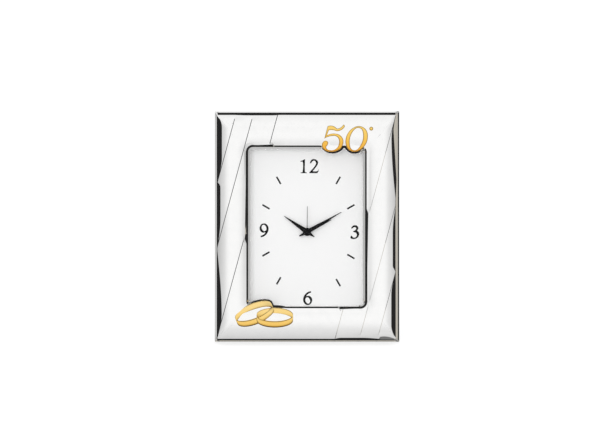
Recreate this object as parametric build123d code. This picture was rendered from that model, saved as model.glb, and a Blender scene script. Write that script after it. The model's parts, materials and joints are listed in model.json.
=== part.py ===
"""Photo frame clock: polished silver frame with folded bands, gilt ornaments and a quartz alarm movement.

Millimetres. Every piece is drawn upright, front towards -Y, +X to the right, +Z up, with the middle of the
face on the Y axis and the back of the frame at Y = 0. Last of all the clock leans back onto its strut.
"""

import os
from math import atan2, cos, radians, sin

from build123d import *

# Frame outline and moulding, heights measured forward from the back of the frame
FRAME_WIDTH = 200.0
FRAME_HEIGHT = 250.0
OPENING_WIDTH = 129.0
OPENING_HEIGHT = 175.0
RIM_WIDTH = 3.4
RIM_FRONT = 8.0
RIM_REACH = 7.1
SHOULDER_WIDTH = 0.6
SHOULDER_FRONT = 19.8
CROWN_FRONT = 23.5
CROWN_PLACE = 18.5
INNER_SHOULDER_FRONT = 21.3
INNER_SHOULDER_WIDTH = 2.3
LIP_FRONT = 18.5
FLANGE_WIDTH = 2.3
SHEET = 1.4
LEAN = 12.0

# Folded bands: lines X = offset + slope * Z, the same turned half round on the other side
FOLD_SLOPE = 0.272
FOLD_OFFSETS = (62.8, 90.6, 110.0)
BAND_TILT = 1.6
# Hollows of the flank between two folds: lower end, upper end and depth, on the left side
FLANK_HOLLOWS = ((48.5, 138.0, 4.4), (-24.5, 48.5, 2.4), (-142.0, -24.5, 4.2))

# Layers behind the opening, along Y
GLASS_FRONT = -16.0
GLASS_BACK = -14.0
DIAL_FRONT = -7.0
CARD_BACK = -6.5
BOARD_BACK = -4.0
REBATE_WIDTH = 135.0
REBATE_HEIGHT = 181.0
INSERT_GAP = 0.5
PANEL_WIDTH = 150.0
PANEL_HEIGHT = 196.0

# Gilt ornaments
GILT_FRONT = 25.3
LOBE_FRONT = 21.6
LOBE_MARGIN = 1.5
RING_BAND = 6.2
RINGS = {"left": (-56.1, -94.8, 21.3, 8.7, 22.0), "right": (-35.3, -99.0, 19.9, 7.9, 0.0)}
NEAR_WALL_FRONT = 26.0
FAR_WALL_FRONT = 24.6
# Seat of the ornaments: flat below the crown's ridge, then down towards the lip
SEAT_FRONT = 22.9
SEAT_KNEE = 104.0
SEAT_FALL = 0.142

# Movement, its hub below the middle of the face
HUB_Z = -5.9
CASE_SIZE = 56.0
CASE_WALL = 1.2
CASE_FRONT = BOARD_BACK
COVER_FRONT = 11.5
COVER_BACK = 13.0
BAY_TOP = -10.5
BATTERY_RADIUS = 7.25
BATTERY_LENGTH = 50.5
BATTERY_AXIS = (-19.15, 4.6)
RUNNING_GAP = 0.05
PIVOT_RADIUS = 0.4
ARBOR_RADIUS = 0.8

# Arbors of the wheel train: distance and direction from the hub, degrees anticlockwise from +X
SETTING_DISTANCE, SETTING_ANGLE = 10.0, 190.0
ALARM_DISTANCE, ALARM_ANGLE = 10.8, -15.0
THIRD_DISTANCE, THIRD_ANGLE = 9.0, 130.0
INTERMEDIATE_DISTANCE, INTERMEDIATE_ANGLE = 9.0, 60.0
ROTOR_DISTANCE, ROTOR_ANGLE = 8.4, 50.0

# Hands: length, width, angle clockwise from twelve
HOUR_HAND = (30.3, 5.4, 304.5)
MINUTE_HAND = (42.9, 4.6, 60.0)
ALARM_HAND = (29.4, 4.2, 63.5)
SECOND_HAND = (27.8, 0.75, 0.5)
HAND_TAIL = 9.6
HAND_SHEET = 0.45

# Back: turn clips, hinge and strut
CLIP_PIVOTS = ((-84.0, 55.0), (84.0, 55.0), (84.0, -55.0), (-84.0, -55.0))
HINGE_Y, HINGE_Z = 2.3, -47.0
KNUCKLE_RADIUS = 2.2
LEAF_WIDTH = 26.0
LEAF_LENGTH = 19.0
STRUT_OPEN = 27.0
STRUT_THICKNESS = 4.5

SIDE_WIDTH = (FRAME_WIDTH - OPENING_WIDTH) / 2
END_WIDTH = (FRAME_HEIGHT - OPENING_HEIGHT) / 2


# Drawing helpers

def facing(y):
    """Plane seen from the front, so that a sketch's x and y are X and Z and it extrudes forward."""
    return Plane(origin=(0, y, 0), x_dir=(1, 0, 0), z_dir=(0, -1, 0))


def slab(sketch, y_front, y_back):
    return extrude(facing(y_back) * sketch, amount=y_back - y_front, dir=(0, -1, 0))


def rod(place, radius, y_front, y_back):
    return slab(Pos(*place) * Circle(radius), y_front, y_back)


def tube(place, inner, outer, y_front, y_back):
    return slab(Pos(*place) * (Circle(outer) - Circle(inner)), y_front, y_back)


def brick(x0, x1, y0, y1, z0, z1):
    return Pos((x0 + x1) / 2, (y0 + y1) / 2, (z0 + z1) / 2) * Box(x1 - x0, y1 - y0, z1 - z0)


def polar(distance, angle, start=(0.0, 0.0)):
    return (start[0] + distance * cos(radians(angle)), start[1] + distance * sin(radians(angle)))


def oval(x, z, half_width, half_height, turn=0.0):
    """Oval of four arcs that run into each other."""
    if half_height > half_width:
        return oval(x, z, half_height, half_width, turn + 90)
    end = half_height * (0.3 + 0.7 * half_height / half_width)
    flat = ((half_width - end) ** 2 + half_height ** 2 - end ** 2) / (2 * (half_height - end))
    angle = atan2(flat - half_height, half_width - end)
    across, up = half_width - end + end * cos(angle), end * sin(angle)
    arcs = [
        ThreePointArc((across, -up), (half_width, 0), (across, up)),
        ThreePointArc((across, up), (0, half_height), (-across, up)),
        ThreePointArc((-across, up), (-half_width, 0), (-across, -up)),
        ThreePointArc((-across, -up), (0, -half_height), (across, -up)),
    ]
    return Pos(x, z) * Rot(0, 0, turn) * make_face(arcs)


def arc_run(*points):
    """Arcs end to end, each through three of the points."""
    return [ThreePointArc(*points[start:start + 3]) for start in range(0, len(points) - 2, 2)]


def cut_corners(width, height, cut):
    """Rectangle with its corners cut off."""
    x, z = width / 2, height / 2
    return Polygon((cut - x, -z), (x - cut, -z), (x, cut - z), (x, z - cut), (x - cut, z), (cut - x, z),
                   (-x, z - cut), (-x, cut - z))


def turned_copy(shape):
    """The same shape turned half round in the plane of the face."""
    return Rot(0, 180, 0) * shape


# Frame: mitred moulding, folded bands, lobes under the ornaments

def mitred_ring(section):
    """Four mitred members; section(widening) draws the outline across one as inward, forward.

    The end members are wider than the sides by a flat strip along the ridge of the crown.
    """
    reach = SIDE_WIDTH + 7
    widening = END_WIDTH - SIDE_WIDTH
    x, z = FRAME_WIDTH / 2, FRAME_HEIGHT / 2
    left_plane = Plane(origin=(-x, 0, 0), x_dir=(1, 0, 0), z_dir=(0, 0, -1))
    bottom_plane = Plane(origin=(0, 0, -z), x_dir=(0, 0, 1), z_dir=(1, 0, 0))
    left = extrude(left_plane * section(0.0), amount=z, both=True)
    bottom = extrude(bottom_plane * section(widening), amount=x, both=True)
    low_mitre = [(-x, -z), (CROWN_PLACE - x, CROWN_PLACE - z), (CROWN_PLACE - x, CROWN_PLACE + widening - z),
                 (reach - x, reach + widening - z)]
    left_mitre = Polygon(*low_mitre, *[(across, -up) for across, up in reversed(low_mitre)])
    bottom_mitre = Polygon(*[(-across, up) for across, up in low_mitre], *reversed(low_mitre))
    half = (left & slab(left_mitre, -40, 0)) + (bottom & slab(bottom_mitre, -40, 0))
    return half + turned_copy(half)


def ridge_arc(across, fall, widening):
    """Arc from the ridge of the crown to a point across from it and lower, level at the ridge."""
    ridge = CROWN_PLACE + (widening if across > 0 else 0)
    radius = (across ** 2 + fall ** 2) / (2 * fall)
    start = (ridge, CROWN_FRONT)
    half_angle = atan2(abs(across), radius - fall) / 2
    sign = 1 if across > 0 else -1
    middle = (ridge + sign * radius * sin(half_angle), CROWN_FRONT - radius * (1 - cos(half_angle)))
    return ThreePointArc(start, middle, (ridge + across, CROWN_FRONT - fall))


def crown_section(widening):
    """Flank, crown and lip of the sheet, filled down to the back."""
    foot, lip = RIM_WIDTH, SIDE_WIDTH + widening
    outer_arc = ridge_arc(RIM_WIDTH + SHOULDER_WIDTH - CROWN_PLACE, CROWN_FRONT - SHOULDER_FRONT, widening)
    inner_arc = ridge_arc(SIDE_WIDTH - INNER_SHOULDER_WIDTH - CROWN_PLACE, CROWN_FRONT - INNER_SHOULDER_FRONT,
                          widening)
    edges = [
        Line((foot, 0), (foot, RIM_FRONT)),
        Line((foot, RIM_FRONT), outer_arc @ 1),
        outer_arc,
        inner_arc,
        Line(inner_arc @ 1, (lip, LIP_FRONT)),
        Line((lip, LIP_FRONT), (lip, 0)),
        Line((lip, 0), (foot, 0)),
    ]
    if widening:
        edges.append(Line(outer_arc @ 0, inner_arc @ 0))
    return make_face(edges)


def core_section(widening):
    """The core under the sheet, with flat facets below the crown."""
    foot, shoulder = RIM_WIDTH + SHEET, RIM_WIDTH + SHOULDER_WIDTH + 1.5 * SHEET
    lip = SIDE_WIDTH - SHEET + widening
    return Polygon((foot, 0), (lip, 0), (lip, LIP_FRONT - SHEET),
                   (lip - INNER_SHOULDER_WIDTH, INNER_SHOULDER_FRONT - SHEET),
                   (CROWN_PLACE + 5 + widening, CROWN_FRONT - SHEET), (CROWN_PLACE - 5, CROWN_FRONT - SHEET),
                   (shoulder, SHOULDER_FRONT - SHEET), (foot, RIM_FRONT))


def rim_section(_, sheet=0.0):
    """Flat rim; with a sheet thickness, the core's part of it."""
    return Polygon((sheet, 0), (RIM_REACH, 0), (RIM_REACH, RIM_FRONT - sheet), (sheet, RIM_FRONT - sheet))


def flange_section(widening):
    """Inner flange that slopes from the lip down to the glass."""
    lip = SIDE_WIDTH + widening
    return Polygon((lip - 3.0, -GLASS_FRONT), (lip + FLANGE_WIDTH, -GLASS_FRONT),
                   (lip - 0.6, LIP_FRONT - 0.2))


def fold_strip(start, end):
    z = FRAME_HEIGHT / 2 + 15
    lean = FOLD_SLOPE * z
    return Polygon((start - lean, -z), (end - lean, -z), (end + lean, z), (start + lean, z))


def folded_crown():
    """The crown cut along the folds, each band tilted so that it dips under the next one inward."""
    crown = mitred_ring(crown_section)
    inner, middle, outer = FOLD_OFFSETS
    far = FRAME_WIDTH
    bands = crown & slab(fold_strip(-inner, inner), -40, 0)
    for start, end in ((-far, -outer), (-outer, -middle), (-middle, -inner)):
        axis_x = max(start, -outer - (outer - middle)) / 2 + end / 2
        axis = Axis((axis_x, -CROWN_FRONT, 0), (FOLD_SLOPE, 0, 1))
        band = crown.rotate(axis, BAND_TILT) & slab(fold_strip(start, end), -40, 0)
        bands += band + turned_copy(band)
    return bands


def flank_hollow(low, high, depth):
    """Leaning cylinder that bites a crescent out of the left flank between two folds."""
    half = (high - low) / 2
    radius = half * half / (2 * depth) + depth / 2
    slope = depth / (SHOULDER_FRONT - RIM_FRONT)
    outward = Vector(-1, -slope, 0).normalized()
    deepest = Vector(-FRAME_WIDTH / 2 + RIM_WIDTH + SHOULDER_WIDTH + depth, -SHOULDER_FRONT, (low + high) / 2)
    across = Plane(origin=deepest + outward * radius, x_dir=(0, 0, 1), z_dir=(slope, -1, 0))
    bite = extrude(across * Circle(radius), amount=30, both=True)
    return bite & brick(-FRAME_WIDTH, 0, -40, -RIM_FRONT, low, high)


def lobe(outline):
    """Patch of the sheet that carries an ornament over the edge of the opening, its edge bevelled."""
    patch = slab(outline, -LOBE_FRONT, GLASS_FRONT)
    return chamfer(patch.faces().sort_by(Axis.Y)[0].edges(), 1.0)


def ring_rims(x, z, half_width, half_height, turn):
    """Upper and lower rim of a band ring seen from above, and the strip that joins them."""
    up = polar(RING_BAND / 2, 90 + turn)
    upper = oval(x + up[0], z + up[1], half_width, half_height, turn)
    lower = oval(x - up[0], z - up[1], half_width, half_height, turn)
    strip = Pos(x, z) * Rot(0, 0, turn) * Rectangle(2 * half_width, RING_BAND)
    return upper, lower, strip


def numeral_five():
    flag_top = arc_run((22.6, 109.1), (27.3, 109.7), (32.6, 106.6), (36.9, 107.9), (39.4, 110.8))
    flag_end = arc_run((39.4, 110.8), (40.8, 110.2), (40.6, 107.9))
    flag_low = arc_run((40.6, 107.9), (37.4, 105.0), (32.1, 103.8), (28.2, 105.0), (23.9, 104.8))
    stem_right = Line((23.9, 104.8), (21.9, 99.3))
    bowl_out = arc_run((21.9, 99.3), (26.5, 101.0), (31.9, 101.0), (36.9, 98.8), (39.6, 93.9), (38.9, 88.5),
                       (35.7, 84.1), (30.2, 81.9), (23.9, 81.7), (19.0, 83.7), (16.6, 87.1), (16.8, 90.5),
                       (19.0, 93.0), (21.7, 93.1), (23.2, 91.2), (22.5, 88.8), (21.1, 87.1))
    bowl_in = arc_run((21.1, 87.1), (21.5, 85.2), (24.4, 83.4), (28.5, 83.3), (32.6, 85.6), (34.8, 89.5),
                      (34.8, 94.4), (32.6, 97.7), (28.5, 98.6), (24.0, 97.9), (19.0, 95.7))
    stem_left = Line((19.0, 95.7), (22.6, 109.1))
    return make_face([*flag_top, *flag_end, *flag_low, stem_right, *bowl_out, *bowl_in, stem_left])


def numeral_zero():
    return oval(54.0, 95.4, 11.4, 14.5, -28.5) - oval(53.7, 95.3, 6.9, 12.4, -14.9)


def ornament_seat():
    """Space behind the ornaments at the top, up to just under the front of the sheet."""
    plane = Plane(origin=(0, 0, 0), x_dir=(0, 0, 1), z_dir=(1, 0, 0))
    low, high = OPENING_HEIGHT / 2 - 20, FRAME_HEIGHT / 2
    side = Polygon((low, 0), (high, 0), (high, SEAT_FRONT), (SEAT_KNEE, SEAT_FRONT),
                   (low, SEAT_FRONT - SEAT_FALL * (SEAT_KNEE - low)))
    return extrude(plane * side, amount=FRAME_WIDTH / 2, both=True)


def gilt(sketch, front, seat):
    """Ornament that stands in its seat in the sheet."""
    return slab(sketch, -front, GLASS_FRONT) - seat


five_outline = numeral_five()
zero_outline = numeral_zero()
dot_outline = Pos(69.8, 106.5) * Circle(2.1)
lobe_outlines = [
    oval(28.1, 91.4, 11.5 + LOBE_MARGIN, 9.7 + LOBE_MARGIN),
    oval(54.0, 95.4, 11.4 + LOBE_MARGIN, 14.5 + LOBE_MARGIN, -28.5),
]
for x, z, half_width, half_height, turn in RINGS.values():
    up = polar(RING_BAND / 2, 90 + turn)
    lobe_outlines.append(oval(x + up[0], z + up[1], half_width + LOBE_MARGIN,
                              half_height + LOBE_MARGIN, turn))

rebate = slab(Rectangle(REBATE_WIDTH, REBATE_HEIGHT), GLASS_FRONT, 0)
panel_rebate = slab(Rectangle(PANEL_WIDTH + INSERT_GAP, PANEL_HEIGHT + INSERT_GAP), BOARD_BACK, 0)
core_body = mitred_ring(core_section) + mitred_ring(lambda widening: rim_section(widening, SHEET))
hollows = [flank_hollow(*hollow) for hollow in FLANK_HOLLOWS]
hollows += [turned_copy(hollow) for hollow in hollows]
silver_body = folded_crown() - hollows
silver_body += mitred_ring(rim_section) + mitred_ring(flange_section)
for outline in lobe_outlines:
    silver_body += lobe(outline)
core_body -= [Pos(SHEET, 0, 0) * hollow for hollow in hollows[:3]]
core_body -= [Pos(-SHEET, 0, 0) * hollow for hollow in hollows[3:]]

ring_sketches = {}
for side, numbers in RINGS.items():
    upper, lower, strip = ring_rims(*numbers)
    ring_sketches[side] = (upper + lower + strip - upper, upper - lower)
over_upper = Pos(-38.0, -86.0) * Rectangle(14, 21)
over_lower = Pos(-50.0, -103.0) * Rectangle(13, 21)
left_near, left_far = ring_sketches["left"]
right_near, right_far = ring_sketches["right"]
left_all, right_all = left_near + left_far, right_near + right_far
left_under = right_all & over_lower
right_under = left_all & over_upper
top_seat = ornament_seat()
bottom_seat = turned_copy(top_seat)
ornaments = {
    "numeral_five": gilt(five_outline, GILT_FRONT, top_seat),
    "numeral_zero": gilt(zero_outline, GILT_FRONT, top_seat),
    "degree_dot": gilt(dot_outline, GILT_FRONT, top_seat),
    "ring_left": (gilt(left_near - left_under, NEAR_WALL_FRONT, bottom_seat)
                  + gilt(left_far - left_under, FAR_WALL_FRONT, bottom_seat)),
    "ring_right": (gilt(right_near - right_under, NEAR_WALL_FRONT, bottom_seat)
                   + gilt(right_far - right_under, FAR_WALL_FRONT, bottom_seat)),
}
silver_face = silver_body - core_body - rebate - list(ornaments.values())
clip_screw_holes = [rod(pivot, 1.5, -7.2, 0) for pivot in CLIP_PIVOTS]
frame_core = core_body - rebate - panel_rebate - clip_screw_holes - ornaments["ring_left"]

# Dial behind the glass
hub = (0.0, HUB_Z)
insert = Rectangle(REBATE_WIDTH - INSERT_GAP, REBATE_HEIGHT - INSERT_GAP)
spacer_window = Rectangle(OPENING_WIDTH - 1.5, OPENING_HEIGHT - 1.5)
bush_radius = 4.0
nut_floor = -5.1
glass_pane = slab(insert, GLASS_FRONT, GLASS_BACK)
dial_spacer = slab(insert - spacer_window, GLASS_BACK, DIAL_FRONT)
dial_card = slab(insert, DIAL_FRONT, CARD_BACK) - rod(hub, 3.4, DIAL_FRONT, CARD_BACK)
dial_board = (slab(insert, CARD_BACK, BOARD_BACK) - rod(hub, bush_radius + 0.1, CARD_BACK, BOARD_BACK)
              - rod(hub, 6.6, CARD_BACK, nut_floor))
bush_nut = slab(Pos(*hub) * (RegularPolygon(6.3, 6) - Circle(bush_radius)), CARD_BACK + 0.1, nut_floor)

# Back panel and turn clips
rivet_places = ((-8.0, HINGE_Z - 13.5), (8.0, HINGE_Z - 13.5))
window = Pos(*hub) * Rectangle(CASE_SIZE + 2, CASE_SIZE + 2)
back_panel = slab(Rectangle(PANEL_WIDTH, PANEL_HEIGHT) - window, BOARD_BACK, 0)
back_panel -= [rod(place, 1.0, BOARD_BACK, 0) for place in rivet_places]


def turn_clip(pivot):
    """Sheet tab with cut corners that reaches from its screw in the frame over the edge of the panel."""
    inward = -1 if pivot[0] > 0 else 1
    tab = Pos(pivot[0] + inward * 6.5, pivot[1]) * cut_corners(24, 9, 2.5)
    return slab(tab - Pos(*pivot) * Circle(1.6), RUNNING_GAP, 1.1)


clip_screws = [rod(pivot, 1.45, -7.0, 1.2) + rod(pivot, 2.8, 1.2, 2.4) for pivot in CLIP_PIVOTS]
clip_names = ("clip_upper_left", "clip_upper_right", "clip_lower_right", "clip_lower_left")

# Hinge and strut, drawn folded flat and then swung open
hinge_axis = Axis((0, HINGE_Y, HINGE_Z), (1, 0, 0))
leaf_half = LEAF_WIDTH / 2
knuckle_half = 4.8


def along_hinge(x0, x1, radius):
    plane = Plane(origin=(x0, HINGE_Y, HINGE_Z), x_dir=(0, 1, 0), z_dir=(1, 0, 0))
    return extrude(plane * Circle(radius), amount=x1 - x0)


def hinge_leaf(y0, y1, spans, bore):
    """Leaf below the pin with its share of the knuckles."""
    leaf = brick(-leaf_half, leaf_half, y0, y1, HINGE_Z - LEAF_LENGTH, HINGE_Z - KNUCKLE_RADIUS - 0.4)
    for x0, x1 in spans:
        leaf += brick(x0, x1, y0, y1, HINGE_Z - KNUCKLE_RADIUS - 1, HINGE_Z)
        leaf += along_hinge(x0, x1, KNUCKLE_RADIUS)
    return leaf - along_hinge(-leaf_half, leaf_half, bore)


hinge_pin = along_hinge(-leaf_half, leaf_half, 0.9)
outer_spans = ((-leaf_half, -knuckle_half - 0.2), (knuckle_half + 0.2, leaf_half))
hinge_leaf_fixed = hinge_leaf(RUNNING_GAP, 1.0, outer_spans, 0.9)
hinge_leaf_fixed -= [rod(place, 1.0, -1, 2) for place in rivet_places]
hinge_rivets = [rod(place, 1.0, BOARD_BACK, 1.0) + rod(place, 2.2, 1.0, 1.7) for place in rivet_places]
leaf_face = 2 * HINGE_Y - 1.0
strut_face = leaf_face + 1.0
strut_back = strut_face + STRUT_THICKNESS
hinge_leaf_moving = hinge_leaf(leaf_face, strut_face, ((-knuckle_half, knuckle_half),), 0.95)
hinge_leaf_moving -= [rod(place, 1.0, leaf_face - 1, strut_face + 1) for place in rivet_places]
strut_top, strut_foot = HINGE_Z - 0.5, HINGE_Z - 95
strut_outline = Polygon((-23, strut_foot), (23, strut_foot), (15, strut_top), (-15, strut_top))
strut = slab(strut_outline, strut_face, strut_back) - [rod(place, 1.0, 0, 20) for place in rivet_places]
strut = fillet(strut.edges().filter_by(Axis.Y).group_by(Axis.Z)[-1], 4)
strut_rivets = [rod(place, 1.0, leaf_face, strut_back) + rod(place, 2.2, strut_back, strut_back + 0.6)
                for place in rivet_places]
table = Pos(0, 0, -FRAME_HEIGHT / 2) * Rot(LEAN, 0, 0) * Pos(0, 0, -50) * Box(400, 400, 100)
strut = strut.rotate(hinge_axis, STRUT_OPEN) - table
hinge_leaf_moving = hinge_leaf_moving.rotate(hinge_axis, STRUT_OPEN)
strut_rivets = [rivet.rotate(hinge_axis, STRUT_OPEN) for rivet in strut_rivets]

# Movement case, drawn with the hub on the Y axis
origin = (0.0, 0.0)
setting = polar(SETTING_DISTANCE, SETTING_ANGLE)
alarm = polar(ALARM_DISTANCE, ALARM_ANGLE)
third = polar(THIRD_DISTANCE, THIRD_ANGLE)
intermediate = polar(INTERMEDIATE_DISTANCE, INTERMEDIATE_ANGLE)
rotor = polar(ROTOR_DISTANCE, ROTOR_ANGLE, intermediate)
half_case = CASE_SIZE / 2
room = half_case - CASE_WALL
case_floor = CASE_FRONT + CASE_WALL
arbor_tip = case_floor - 0.6
pivot_tip = COVER_FRONT + 0.8
plate_front, plate_back = 3.0, 4.0
battery_z, battery_y = BATTERY_AXIS
seconds_radius = 0.6

case_square = cut_corners(CASE_SIZE, CASE_SIZE, 1.5)
case_room = Pos(0, (room + BAY_TOP) / 2) * Rectangle(2 * room, room - BAY_TOP)
case_bay = Pos(0, (BAY_TOP - 1 - room) / 2) * Rectangle(2 * room, BAY_TOP - 1 + room)
movement_case = slab(case_square, CASE_FRONT, COVER_FRONT)
movement_case -= slab(case_room + case_bay, case_floor, COVER_FRONT)
movement_case += rod(origin, bush_radius, CARD_BACK + 0.05, case_floor)
movement_case -= rod(origin, 3.0 + RUNNING_GAP, CARD_BACK, case_floor)
movement_case -= [rod(place, ARBOR_RADIUS + RUNNING_GAP, arbor_tip - 0.1, case_floor)
                  for place in (setting, alarm)]

switch_place = (19.0, 11.0)
switch_travel = 3.0
slot_place = (switch_place[0], switch_place[1] + switch_travel / 2)
switch_slot = Pos(*slot_place) * Rectangle(3.4, 4.2 + switch_travel)
bay_opening = Pos(0, (BAY_TOP - 1 - room) / 2) * Rectangle(2 * room - 0.8, BAY_TOP - 1 + room)
movement_cover = slab(case_square - bay_opening - switch_slot, COVER_FRONT, COVER_BACK)
movement_cover = chamfer(movement_cover.faces().sort_by(Axis.Y)[-1].outer_wire().edges(), 0.6)
movement_cover -= [rod(place, ARBOR_RADIUS + RUNNING_GAP, COVER_FRONT, COVER_BACK)
                   for place in (setting, alarm)]
movement_cover -= [rod(place, PIVOT_RADIUS + RUNNING_GAP, COVER_FRONT, pivot_tip + 0.2)
                   for place in (third, intermediate, rotor)]
movement_cover -= rod(origin, seconds_radius + RUNNING_GAP, COVER_FRONT, pivot_tip + 0.2)
alarm_switch = (slab(Pos(*switch_place) * Rectangle(2.8, 4), COVER_FRONT - 0.1, COVER_BACK + 0.2)
                + slab(Pos(*switch_place) * Rectangle(5.4, 6), COVER_FRONT - 0.6, COVER_FRONT - 0.1)
                + slab(Pos(*switch_place) * Rectangle(5, 5.4), COVER_BACK + 0.1, COVER_BACK + 2.2))
for offset in (-1.6, 0.0, 1.6):
    groove = Pos(switch_place[0], switch_place[1] + offset) * Rectangle(5, 0.7)
    alarm_switch -= slab(groove, COVER_BACK + 1.6, COVER_BACK + 3)

train_plate = slab(case_room - Circle(1.4 + RUNNING_GAP), plate_front, plate_back)
train_plate -= [rod(place, ARBOR_RADIUS + RUNNING_GAP, plate_front, plate_back)
                for place in (setting, alarm)]
train_plate -= [rod(place, PIVOT_RADIUS + RUNNING_GAP, plate_front, plate_back)
                for place in (third, intermediate, rotor)]

# Battery and its contacts
battery_end = (-BATTERY_LENGTH / 2, battery_y, battery_z)
battery_plane = Plane(origin=battery_end, x_dir=(0, 1, 0), z_dir=(1, 0, 0))
can_length = BATTERY_LENGTH - 1.3
battery = extrude(battery_plane * Circle(BATTERY_RADIUS), amount=can_length)
battery += extrude(battery_plane * Circle(2.75), amount=BATTERY_LENGTH)


def battery_contact(side):
    """Strip folded to a U against the end wall of the bay, its inner leg on the end of the cell."""
    low, high = battery_z - 4, battery_z + 4
    cell_end = BATTERY_LENGTH / 2 + RUNNING_GAP
    wall_leg = brick(room - 0.4, room, case_floor, COVER_FRONT - 0.8, low, high)
    bend = brick(cell_end, room, case_floor, case_floor + 0.1, low, high)
    cell_leg = brick(cell_end, cell_end + 0.4, case_floor, COVER_FRONT - 2, low, high)
    contact = wall_leg + bend + cell_leg
    return contact if side > 0 else mirror(contact, about=Plane.YZ)


# Circuit, motor and buzzer
board_outline = Pos(-17.9, 21.2) * Rectangle(17.6, 11.0)
circuit_board = slab(board_outline, plate_back, plate_back + 0.8)
control_chip = rod((-21.0, 21.2), 2.6, plate_back + 0.8, plate_back + 1.7)
crystal_plane = Plane(origin=(-16.5, plate_back + 1.9, 18.6), x_dir=(0, 1, 0), z_dir=(1, 0, 0))
quartz_crystal = extrude(crystal_plane * Circle(1.1), amount=6)
buzzer_disc = rod((-16.0, 13.0), 8.0, COVER_FRONT - 0.5, COVER_FRONT)

stator_front, stator_back = 6.4, 7.6
bar_z, bar_half = 22.6, 1.1
coil_ends = (2.0, 16.0)
bar_top = bar_z + bar_half
left_arm = Polygon((5.5, 15.4), (7.0, 18.6), (0.6, 19.0), (0.6, bar_top), (-3.0, bar_top), (-3.0, 17.0),
                   (-1.5, 15.6))
right_arm = Polygon((14.3, 15.4), (19.5, 15.4), (21.0, 17.0), (21.0, bar_top), (17.3, bar_top),
                    (17.3, 19.0), (12.8, 18.6))
stator_bar = Pos(9.0, bar_z) * Rectangle(24, 2 * bar_half)
stator_outline = Pos(*rotor) * Circle(5.2) + stator_bar + left_arm + right_arm
stator = slab(stator_outline - Pos(*rotor) * Circle(2.6), stator_front, stator_back)
bar_hole = brick(-10, 30, stator_front, stator_back, bar_z - bar_half, bar_z + bar_half)
coil_y = (stator_front + stator_back) / 2
coil_bobbin = brick(coil_ends[0], coil_ends[1], coil_y - 1.2, coil_y + 1.2, bar_z - 1.7, bar_z + 1.7)
coil_sleeve = coil_bobbin
for x in (coil_ends[0] - 0.9, coil_ends[1]):
    coil_bobbin += brick(x, x + 0.9, plate_back, 2 * coil_y - plate_back, bar_z - 3.2, bar_z + 3.2)
coil_bobbin -= bar_hole
coil_winding = brick(coil_ends[0], coil_ends[1], coil_y - 2.5, coil_y + 2.5, bar_z - 2.9, bar_z + 2.9)
coil_winding = fillet(coil_winding.edges().filter_by(Axis.X), 1.5) - coil_sleeve - bar_hole
spring_arm = Polygon((-1.5, 0), (4.0, -9.9), (7.0, -9.9), (1.5, 0))
alarm_spring = slab(Circle(3.9) + spring_arm - Circle(2.6), 0.3, 0.5)
alarm_spring += brick(4.0, 7.0, 0.3, plate_front, -10.1, -9.4)


# Wheel train

def gear(teeth, module, place, aim, tooth=True):
    """Toothed outline with a tooth, or else a gap, towards its partner."""
    pitch_radius = teeth * module / 2
    step = 360 / teeth
    start = aim if tooth else aim + step / 2
    root, tip = pitch_radius - module, pitch_radius + 0.8 * module
    corners = ((-0.25, root), (-0.1, tip), (0.1, tip), (0.25, root))
    points = [polar(radius, start + (count + share) * step, place)
              for count in range(teeth) for share, radius in corners]
    return Polygon(*points)


def meeting(teeth_a, teeth_b, distance):
    """Module that makes two gears meet at a distance."""
    return 2 * distance / (teeth_a + teeth_b)


setting_module = meeting(8, 24, SETTING_DISTANCE)
hour_module = meeting(7, 28, SETTING_DISTANCE)
alarm_module = meeting(9, 27, ALARM_DISTANCE)
third_module = meeting(6, 45, THIRD_DISTANCE)
centre_module = meeting(6, 48, THIRD_DISTANCE)
seconds_module = meeting(8, 40, INTERMEDIATE_DISTANCE)
rotor_module = meeting(6, 36, ROTOR_DISTANCE)
to_setting, from_setting = SETTING_ANGLE, SETTING_ANGLE + 180
to_third, from_third = THIRD_ANGLE, THIRD_ANGLE + 180

alarm_wheel = slab(gear(27, alarm_module, origin, ALARM_ANGLE, tooth=False), -2.2, -1.4)
alarm_wheel += rod(origin, 3.0, -8.5, -1.2)
alarm_wheel -= rod(origin, 2.25, -9, 0)
alarm_pinion = slab(gear(9, alarm_module, alarm, ALARM_ANGLE + 180), -2.4, -1.2)
alarm_pinion += rod(alarm, ARBOR_RADIUS, arbor_tip, COVER_BACK + 4)
hour_wheel = slab(gear(28, hour_module, origin, to_setting, tooth=False), -0.6, 0.2)
hour_wheel += rod(origin, 2.2, -10.0, 0.7)
hour_wheel -= rod(origin, 1.45, -11, 1)
cannon_pinion = slab(gear(8, setting_module, origin, to_setting), 1.0, 2.4)
cannon_pinion += rod(origin, 1.4, -11.4, 5.9) + rod(origin, 2.0, 5.5, 5.9)
cannon_pinion -= rod(origin, seconds_radius + RUNNING_GAP, -12, 6)
setting_wheel = slab(gear(24, setting_module, setting, from_setting, tooth=False), 1.3, 2.1)
setting_wheel += slab(gear(7, hour_module, setting, from_setting), -0.8, 0.4)
setting_wheel += rod(setting, 1.4, 0.4, 1.3) + rod(setting, ARBOR_RADIUS, arbor_tip, COVER_BACK + 4)
centre_wheel = slab(gear(48, centre_module, origin, to_third, tooth=False), 4.6, 5.4)
centre_wheel -= rod(origin, 1.4 + RUNNING_GAP, 4, 6)
third_wheel = slab(gear(45, third_module, third, from_third, tooth=False), 6.2, 7.0)
third_wheel += slab(gear(6, centre_module, third, from_third), 4.4, 5.6)
third_wheel += rod(third, PIVOT_RADIUS, plate_front + 0.1, pivot_tip)
seconds_wheel = slab(gear(40, seconds_module, origin, INTERMEDIATE_ANGLE, tooth=False), 8.2, 9.0)
seconds_wheel += slab(gear(6, third_module, origin, to_third), 6.0, 7.3)
seconds_wheel += rod(origin, seconds_radius, -12.7, pivot_tip)
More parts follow.
